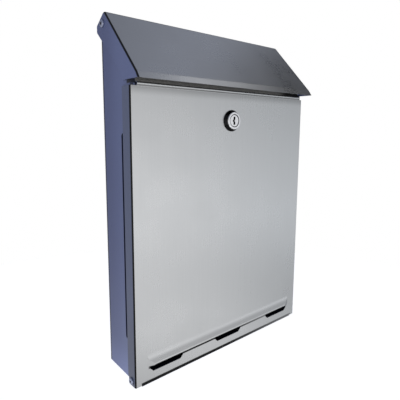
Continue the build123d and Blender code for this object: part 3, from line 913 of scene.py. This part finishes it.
@dataclass
class BoxDressing(Dressing):
    """The folded body with its pan, rail, rivets, washers, spacers and buffers."""

    stem_radius: float = 0.82 * MM
    stem_length: float = 0.45 * MM
    break_radius: float = 0.5 * MM
    break_length: float = 0.2 * MM
    core_depth: float = 1.0 * MM
    weld_radius: float = 2.4 * MM
    weld_crown: float = 0.14 * MM
    weld_ring: float = 0.22 * MM
    weld_rise: float = 7.6 * MM
    cap_radius: float = 3.6 * MM
    cap_crown: float = 1.4 * MM
    cap_thickness: float = 0.6 * MM
    cap_lift: float = 1.4 * MM
    leg_radius: float = 0.4 * MM
    leg_spread: float = 1.85 * MM
    spigot_radius: float = 2.05 * MM
    spigot_wall: float = 0.38 * MM
    drain_inset: float = 47.2 * MM
    drain_spacing: float = 30.0 * MM
    weld_rows: int = 4
    weld_columns: int = 6
    weld_face: float = 0.8
    weld_sides: int = 28
    stem_sides: int = 24
    cap_sides: int = 32
    leg_count: int = 3
    leg_sides: int = 10
    ring_sides: int = 8
    pan_sheet: float = 1.0 * MM

    def build(self) -> None:
        """Dress the box's nodes, and add its rivet stems, weld marks and drain caps."""
        names = frame["record"]["behaviour"]["bodies"]["box"]
        dress(("body_shell", "bottom_pan"), SLATE)
        dress(("lock_rail",), RAIL_STEEL)
        dress((name for name in names if "rivet" in name), RIVET_ALLOY)
        dress((name for name in names if "washer" in name), NYLON)
        dress((name for name in names if "spacer" in name or "buffer" in name), RUBBER)
        settle(self.stems(), "box")
        settle(self.welds(), "box")
        settle(self.drain_caps(), "box")

    def stems(self) -> bpy.types.Object:
        """Broken steel stems in the cores of the four blind rivets, near black as painted shade of the hollow
        cores.

        Returns:
            The stems as one piece.
        """
        sizes = self.sizes("stem_radius", "stem_length", "break_radius", "break_length")
        tree = PieceTree("rivet_stems", STEM_STEEL, sizes)
        shank = tree.rod(self.stem_sides, "Stem radius", "Stem length")
        tip = tree.cone(self.stem_sides, "Stem radius", "Break radius", "Break length")
        raised = tree.raised(tip, tree.times(tree.size("Stem length"), 0.5))
        places = []
        for name in ("lid_rivet_left", "lid_rivet_right", "door_rivet_left", "door_rivet_right"):
            low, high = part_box(name)
            sign = 1 if high.x > 0 else -1
            face = high.x if sign > 0 else low.x
            middle = (low + high) / 2
            foot = face - sign * (self.core_depth - self.stem_length / 2)
            places.append(Place((foot, middle.y, middle.z), (0.0, sign * QUARTER, 0.0)))
        return tree.grow(tree.join(shank, raised), places)

    def welds(self) -> bpy.types.Object:
        """Spot weld marks on the pan's upright flanges.

        Returns:
            The marks as one piece.
        """
        tree = PieceTree("spot_welds", SLATE, self.sizes("weld_radius", "weld_crown", "weld_ring"))
        inner = tree.times(tree.size("Weld radius"), self.weld_face)
        button = tree.cone(self.weld_sides, "Weld radius", inner, "Weld crown")
        bead = tree.ring(self.ring_sides, "Weld ring")
        ring = tree.sweep(tree.ring(self.weld_sides, inner), bead)
        low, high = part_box("bottom_pan")
        level = low.z + self.weld_rise
        places = []
        for row in range(self.weld_rows):
            depth = low.y + (high.y - low.y) * (row + 1) / (self.weld_rows + 1)
            places.append(Place((low.x + self.pan_sheet, depth, level), (0.0, QUARTER, 0.0)))
            places.append(Place((high.x - self.pan_sheet, depth, level), (0.0, -QUARTER, 0.0)))
        for column in range(self.weld_columns):
            along = low.x + (high.x - low.x) * (column + 1) / (self.weld_columns + 1)
            places.append(Place((along, high.y - self.pan_sheet, level), (QUARTER, 0.0, 0.0)))
        return tree.grow(tree.join(button, ring), places)

    def drain_caps(self) -> bpy.types.Object:
        """Rubber caps on legs that keep insects out of the pan's four drain holes.

        Returns:
            The caps as one piece.
        """
        caps = self.sizes("cap_radius", "cap_crown", "cap_thickness", "cap_lift")
        stands = self.sizes("leg_radius", "leg_spread", "spigot_radius", "spigot_wall")
        tree = PieceTree("drain_caps", RUBBER, caps | stands)
        lift = tree.size("Cap lift")
        raised = tree.raised(tree.cone(self.cap_sides, "Cap radius", "Cap crown", "Cap thickness"), lift)
        leg = tree.rod(self.leg_sides, "Leg radius", "Cap lift")
        feet = tree.solid("MeshCircle", Vertices=self.leg_count, Radius=tree.size("Leg spread"))
        standing = tree.solid("InstanceOnPoints", Points=feet, Instance=leg)
        legs = tree.raised(standing, tree.times(lift, 0.5))
        wall = tree.ring(self.ring_sides, "Spigot wall")
        spigot = tree.sweep(tree.ring(self.cap_sides, "Spigot radius"), wall)
        low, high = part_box("bottom_pan")
        middle = (low.y + high.y) / 2
        places = [
            Place((side, middle + step * self.drain_spacing / 2, low.z + self.pan_sheet / 2))
            for side in (low.x + self.drain_inset, high.x - self.drain_inset)
            for step in (-1, 1)
        ]
        return tree.grow(tree.join(raised, legs, spigot), places)


@dataclass
class LidDressing(Dressing):
    """The sloping lid that swings on the rear rivets."""

    def build(self) -> None:
        """Dress the lid."""
        dress(("lid_cover",), LID_STEEL)


@dataclass
class DoorDressing(Dressing):
    """The door with the fixed pieces of its lock."""

    thread_radius: float = 8.98 * MM
    thread_bead: float = 0.36 * MM
    thread_pitch: float = 1.0 * MM
    flat_reach: float = 7.96 * MM
    end_clear: float = 0.7 * MM
    drip_radius: float = 1.2 * MM
    drip_inset: float = 1.25 * MM
    drip_reach: float = 131.0 * MM
    drip_sides: int = 20
    thread_steps: int = 56
    thread_sides: int = 6

    def build(self) -> None:
        """Dress the door and its lock, and add the drip bead and the barrel's thread."""
        dress(("door_panel",), DOOR_STEEL)
        dress(("lock_rosette",), BLACK_CHROME)
        dress(("lock_barrel",), BRIGHT_CHROME)
        dress(("lock_tooth_washer", "lock_nut"), ZINC)
        settle(self.drip_bead(), "door")
        settle(self.thread(), "door")

    def drip_bead(self) -> bpy.types.Object:
        """Rubber bead under the door's lower bend, where the rain drips off.

        Returns:
            The bead as one piece.
        """
        tree = PieceTree("drip_bead", DRIP_RUBBER, self.sizes("drip_radius", "drip_reach"))
        reach = tree.size("Drip reach")
        left = tree.spot(tree.times(reach, -1.0))
        line = tree.solid("CurvePrimitiveLine", Start=left, End=tree.spot(reach))
        bead = tree.sweep(line, tree.ring(self.drip_sides, "Drip radius"), capped=True)
        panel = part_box("door_panel")[0]
        front = hinge("lock_turn").y
        return tree.grow(bead, [Place((0.0, front + self.drip_inset, panel.z + self.drip_inset))])

    def thread(self) -> bpy.types.Object:
        """Thread on the barrel behind its nut, flush with the barrel's two flats.

        Returns:
            The thread as one piece.
        """
        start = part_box("lock_nut")[1].y + self.end_clear
        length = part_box("lock_barrel")[1].y - self.end_clear - start
        sizes = self.sizes("thread_radius", "thread_bead", "flat_reach")
        sizes |= {"Thread turns": length / self.thread_pitch, "Thread length": length}
        tree = PieceTree("barrel_thread", BRIGHT_CHROME, sizes)
        helix = tree.solid(
            "CurveSpiral",
            Resolution=self.thread_steps,
            Rotations=tree.size("Thread turns"),
            Start_Radius=tree.size("Thread radius"),
            End_Radius=tree.size("Thread radius"),
            Height=tree.size("Thread length"),
        )
        worm = tree.sweep(helix, tree.ring(self.thread_sides, "Thread bead"), capped=True)
        across, depth, rise = tree.split(tree.solid("InputPosition"))
        reach = tree.size("Flat reach")
        held = tree.most(tree.maths("MINIMUM", across, reach), tree.times(reach, -1.0))
        flush = tree.spot(held, depth, rise)
        axis = hinge("lock_turn")
        place = Place((axis.x, start, axis.z), (-QUARTER, 0.0, 0.0))
        return tree.grow(tree.solid("SetPosition", Geometry=worm, Position=flush), [place])


@dataclass
class LockDressing(Dressing):
    """The plug with its cam, washer and screw, which the key turns."""

    wafer_width: float = 2.0 * MM
    wafer_height: float = 1.7 * MM
    wafer_thickness: float = 0.5 * MM
    wafer_rounding: float = 0.3 * MM
    wafer_gap: float = 1.3 * MM
    wafer_count: int = 5
    wafer_start: float = 5.2 * MM
    key_height: float = 9.0 * MM
    rings: int = 26
    spokes: int = 96
    head_radius: float = 4.0 * MM
    head_height: float = 2.5 * MM
    cross_arm: float = 2.3 * MM
    cross_half: float = 0.42 * MM
    cross_depth: float = 1.5 * MM
    cross_taper: float = 0.55
    shank_radius: float = 2.0 * MM
    shank_bevel: float = 0.5 * MM
    corner_steps: int = 3

    def build(self) -> None:
        """Dress the plug and cam, and add the wafers and the crossed screw."""
        dress(("lock_plug",), PLUG_NICKEL)
        dress(("lock_cam", "cam_washer"), ZINC)
        settle(self.wafers(), "lock")
        screw = self.screw()
        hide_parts("cam_screw")
        settle(screw, "lock")

    def wafers(self) -> bpy.types.Object:
        """Brass wafers that reach into the keyway from above and below by turns.

        Returns:
            The wafers as one piece.
        """
        sizes = self.sizes("wafer_width", "wafer_height", "wafer_thickness", "wafer_rounding")
        tree = PieceTree("keyway_wafers", WAFER_BRASS, sizes)
        width, height = tree.size("Wafer width"), tree.size("Wafer height")
        outline = tree.solid("CurvePrimitiveQuadrilateral", Width=width, Height=height)
        corners = tree.add(
            "GeometryNodeFilletCurve",
            {
                "Curve": outline,
                "Count": self.corner_steps,
                "Radius": tree.size("Wafer rounding"),
                "Limit Radius": True,
            },
            mode="POLY",
        ).outputs[0]
        blank = tree.add("GeometryNodeFillCurve", {"Curve": corners}, mode="NGONS").outputs[0]
        grown = tree.add(
            "GeometryNodeExtrudeMesh",
            {"Mesh": blank, "Offset Scale": tree.size("Wafer thickness"), "Individual": False},
        ).outputs[0]
        closed = tree.join(grown, tree.solid("FlipFaces", Mesh=blank))
        plate = tree.solid("MergeByDistance", Geometry=closed, Distance=TOUCHING)
        axis = hinge("lock_turn")
        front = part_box("lock_plug")[0].y + self.wafer_start
        rise = (self.key_height - self.wafer_height) / 2
        places = []
        for row in range(self.wafer_count):
            level = axis.z + (rise if row % 2 else -rise)
            places.append(Place((axis.x, front + row * self.wafer_gap, level), (QUARTER, 0.0, 0.0)))
        return tree.grow(plate, places)

    def cross(self, across: float, rise: float) -> float:
        """Depth of the driver's cross recess at a spot on the screw's head.

        Args:
            across: Distance from the axis along one arm.
            rise: Distance from the axis along the other arm.

        Returns:
            Depth below the head's face.
        """
        arm = max(abs(across), abs(rise))
        flank = min(abs(across), abs(rise))
        if arm > self.cross_arm or flank > self.cross_half:
            return 0.0
        return self.cross_depth * (1.0 - self.cross_taper * arm / self.cross_arm)

    def screw(self) -> bpy.types.Object:
        """Pan head screw with a pressed cross, in place of the plain solid.

        Returns:
            The screw as one piece.
        """
        low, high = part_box("cam_screw")
        axis = hinge("lock_turn")
        seat = high.y - self.head_height
        crown = self.head_height / 2
        shank, bevel = self.shank_radius, self.shank_bevel
        profile: list[tuple[float, float]] = []
        for ring in range(self.rings):
            share = ring / (self.rings - 1)
            radius = self.head_radius * share
            edge = max(0.0, radius - (self.head_radius - crown))
            drop = crown - math.sqrt(max(0.0, crown**2 - edge**2))
            profile.append((radius, high.y - drop))
        profile += [(self.head_radius, seat), (shank, seat)]
        profile += [(shank, low.y + bevel), (shank - bevel, low.y)]
        made = bmesh.new()
        rows: list[list[bmesh.types.BMVert]] = []
        for radius, depth in profile:
            row = []
            for spoke in range(self.spokes):
                angle = 2 * math.pi * spoke / self.spokes
                across, rise = radius * math.cos(angle), radius * math.sin(angle)
                cut = self.cross(across, rise) if depth > seat else 0.0
                row.append(made.verts.new((axis.x + across, depth - cut, axis.z + rise)))
            rows.append(row)
        for inner, outer in zip(rows, rows[1:]):
            for spoke in range(self.spokes):
                after = (spoke + 1) % self.spokes
                made.faces.new((inner[spoke], inner[after], outer[after], outer[spoke]))
        made.faces.new(rows[-1])
        bmesh.ops.remove_doubles(made, verts=made.verts, dist=TOUCHING)
        bmesh.ops.recalc_face_normals(made, faces=made.faces)
        mesh = bpy.data.meshes.new("cam_screw_crossed")
        made.to_mesh(mesh)
        made.free()
        mesh.materials.append(ZINC.material())
        smooth(mesh)
        return link("cam_screw_crossed", mesh)


@dataclass(frozen=True)
class Card:
    """A dark card or a light box: the direction of its middle, its edge as cosines, and its level."""

    middle: Point
    edge: Run
    level: float

    def seen(self, graph: Graph, way: Socket, around: float) -> Socket:
        """What a direction meets: the card's level, or the level around it.

        Args:
            graph: The world's nodes.
            way: The direction.
            around: Level away from the card.

        Returns:
            The socket that holds the level.
        """
        inputs = {0: way, 1: Vector(self.middle).normalized()}
        facing = graph.add("ShaderNodeVectorMath", inputs, operation="DOT_PRODUCT").outputs["Value"]
        return graph.step(facing, *self.edge, around, self.level)


@dataclass
class Studio:
    """Pale floor, soft light all round and the camera.

    Places in the dome are directions: X to the right, Y away from the camera's side and Z up.
    """

    floor_drop: float = 0.9
    floor_radius: float = 2.6
    floor_sides: int = 96
    floor_glow: float = 0.72
    floor_tone: float = 0.9
    floor_rough: float = 0.9
    camera_spot: Point = (-0.3301, -0.4061, 0.0810)
    camera_way: Point = (0.6281, 0.7654, -0.1401)
    camera_roll: float = math.radians(0.22)
    lens: float = 34.17
    sensor: float = 36.0
    shift: tuple[float, float] = (0.0086, -0.037)
    near_clip: float = 0.01
    front_levels: Sequence[tuple[float, float]] = (
        (-1.0, 0.45),
        (-0.67, 0.42),
        (-0.59, 0.66),
        (-0.49, 1.3),
        (-0.38, 0.9),
        (-0.22, 1.3),
        (-0.05, 1.08),
        (0.06, 0.92),
        (0.2, 0.8),
        (0.42, 0.45),
        (0.6, 0.39),
        (0.78, 0.33),
        (1.0, 0.25),
    )
    back_levels: Sequence[tuple[float, float]] = (
        (-1.0, 0.3),
        (-0.56, 1.1),
        (-0.3, 0.55),
        (0.0, 0.45),
        (1.0, 0.4),
    )
    right_run: Run = (0.5, 0.9)
    right_levels: Run = (1.08, 0.7)
    behind: Patch = Patch(1.0, aside=(0.15, -0.15), depth=(0.2, 0.7))
    dim_zones: Sequence[Patch] = (
        Patch(0.85, aside=(0.0, 0.3), depth=(0.24, 0.45)),
        Patch(0.95, aside=(-0.1, 0.2), depth=(-0.1, 0.2), rise=(-0.3, -0.5)),
        Patch(0.45, aside=(0.6, 0.8), rise=(-0.2, -0.5)),
    )
    right_tint_run: Run = (0.55, 0.85)
    right_tint: Colour = (0.96, 1.0, 1.04)
    sky_tint_run: Run = (0.2, 0.5)
    sky_tint: Colour = (0.91, 0.965, 1.13)
    lid_card: Card = Card((0.86, -0.16, 0.48), (0.9, 0.942), 0.03)
    fold_card: Card = Card((-0.8, -0.58, -0.15), (0.72, 0.86), 0.8)
    lid_box: Card = Card((0.62, 0.22, 0.75), (0.95, 0.995), 0.1)
    glint_box: Card = Card((-0.382, -0.086, -0.92), (0.99, 0.997), 7.0)
    band_box: Patch = Patch(1.35, aside=(0.568, 0.622, 0.68, 0.73), depth=(0.0, -0.16), rise=(0.4, 0.6))
    lamp_spot: Point = (-0.22, -0.06, -0.28)
    lamp_aim: Point = (-0.14, -0.055, -0.18)
    lamp_size: float = 0.08
    lamp_power: float = 0.04

    def build(self) -> None:
        """Set up the floor, the light and the camera."""
        bpy.context.scene.view_settings.view_transform = "Standard"
        self.floor()
        self.light()
        self.lamp()
        self.camera()

    def floor(self) -> None:
        """Lay a plain pale floor well below the box."""
        made = bmesh.new()
        bmesh.ops.create_circle(made, cap_ends=True, segments=self.floor_sides, radius=self.floor_radius)
        bmesh.ops.translate(made, verts=made.verts, vec=(0.0, 0.0, -self.floor_drop))
        mesh = bpy.data.meshes.new("pale_floor")
        made.to_mesh(mesh)
        made.free()
        paint = bpy.data.materials.new("pale_floor")
        paint.use_nodes = True
        graph = Graph(paint.node_tree)
        shader = graph.add(
            "ShaderNodeBsdfPrincipled",
            {
                "Base Color": opaque((self.floor_tone,) * 3),
                "Roughness": self.floor_rough,
                "Emission Color": opaque(WHITE),
                "Emission Strength": self.floor_glow,
            },
        )
        graph.add("ShaderNodeOutputMaterial", {"Surface": shader.outputs[0]})
        mesh.materials.append(paint)
        laid = link("pale_floor", mesh)
        laid.visible_glossy = False

    def light(self) -> None:
        """Light the box from a shaped soft dome, which the camera itself sees as plain white."""
        world = bpy.data.worlds.new("soft_studio")
        bpy.context.scene.world = world
        world.use_nodes = True
        graph = Graph(world.node_tree)
        way = graph.add("ShaderNodeTexCoord").outputs["Generated"]
        spot = self.dome_spot(graph, way)
        boxes = (box.seen(graph, way, 0.0) for box in (self.lid_box, self.glint_box))
        tint = graph.mix(graph.step(spot["aside"], *self.right_tint_run), WHITE, self.right_tint)
        tint = graph.mix(graph.step(spot["rise"], *self.sky_tint_run), tint, self.sky_tint)
        dome, band, plain = (
            graph.add("ShaderNodeBackground", {"Color": opaque(colour), "Strength": strength}).outputs[0]
            for colour, strength in (
                (tint, graph.maths("ADD", self.dome(graph, way), graph.maths("ADD", *boxes))),
                (WHITE, self.band_box.share(graph, spot)),
                (WHITE, 1.0),
            )
        )
        studio = graph.add("ShaderNodeAddShader", {0: dome, 1: band}).outputs[0]
        seen = graph.add("ShaderNodeLightPath").outputs["Is Camera Ray"]
        mixed = graph.add("ShaderNodeMixShader", {0: seen, 1: studio, 2: plain}).outputs[0]
        graph.add("ShaderNodeOutputWorld", {"Surface": mixed})

    def dome(self, graph: Graph, way: Socket) -> Socket:
        """How bright the dome is in each direction, with its dim parts and dark cards.

        Args:
            graph: The world's nodes.
            way: The direction.

        Returns:
            The socket that holds the brightness.
        """
        spot = self.dome_spot(graph, way)
        right = graph.step(spot["aside"], *self.right_run, *self.right_levels)
        front = graph.times(graph.profile(spot["rise"], self.front_levels), right)
        back = graph.profile(spot["rise"], self.back_levels)
        level = graph.between(self.behind.share(graph, spot), front, back)
        for zone in self.dim_zones:
            level = graph.times(level, graph.maths("SUBTRACT", 1.0, zone.share(graph, spot)))
        cards = (card.seen(graph, way, 1.0) for card in (self.lid_card, self.fold_card))
        return graph.times(level, *cards)

    @staticmethod
    def dome_spot(graph: Graph, way: Socket) -> dict[str, Socket]:
        """The parts of a direction, by the names of a patch's runs."""
        return dict(zip(("aside", "depth", "rise"), graph.split(way)))

    def lamp(self) -> None:
        """Set a small lamp low beside the box, which lifts the foot of its side."""
        data = bpy.data.lights.new("low_lamp", "AREA")
        data.shape, data.size, data.energy = "DISK", self.lamp_size, self.lamp_power
        made = bpy.data.objects.new("low_lamp", data)
        made.visible_camera = made.visible_glossy = False
        way = Vector(self.lamp_aim) - Vector(self.lamp_spot)
        self.stand(made, self.lamp_spot, way.to_track_quat("-Z", "Y"))

    @staticmethod
    def stand(made: bpy.types.Object, spot: Point, aim: Quaternion) -> None:
        """Put a lamp or camera at a spot, turned to its aim."""
        bpy.context.scene.collection.objects.link(made)
        made.matrix_world = Matrix.Translation(spot) @ aim.to_matrix().to_4x4()

    def camera(self) -> None:
        """Stand the camera at the photograph's angle."""
        data = bpy.data.cameras.new("photo_camera")
        data.lens, data.sensor_width = self.lens, self.sensor
        data.shift_x, data.shift_y = self.shift
        data.clip_start = self.near_clip
        made = bpy.data.objects.new("photo_camera", data)
        roll = Quaternion((0.0, 0.0, 1.0), self.camera_roll)
        self.stand(made, self.camera_spot, Vector(self.camera_way).to_track_quat("-Z", "Y") @ roll)
        bpy.context.scene.camera = made


def main() -> None:
    """Dress each sub-assembly in order, then set up the studio."""
    logging.basicConfig(level=logging.INFO, format="%(message)s")
    for assembly in (BoxDressing(), LidDressing(), DoorDressing(), LockDressing(), Studio()):
        assembly.build()
        LOG.info("%s done", type(assembly).__name__)


if __name__ == "__main__":
    main()
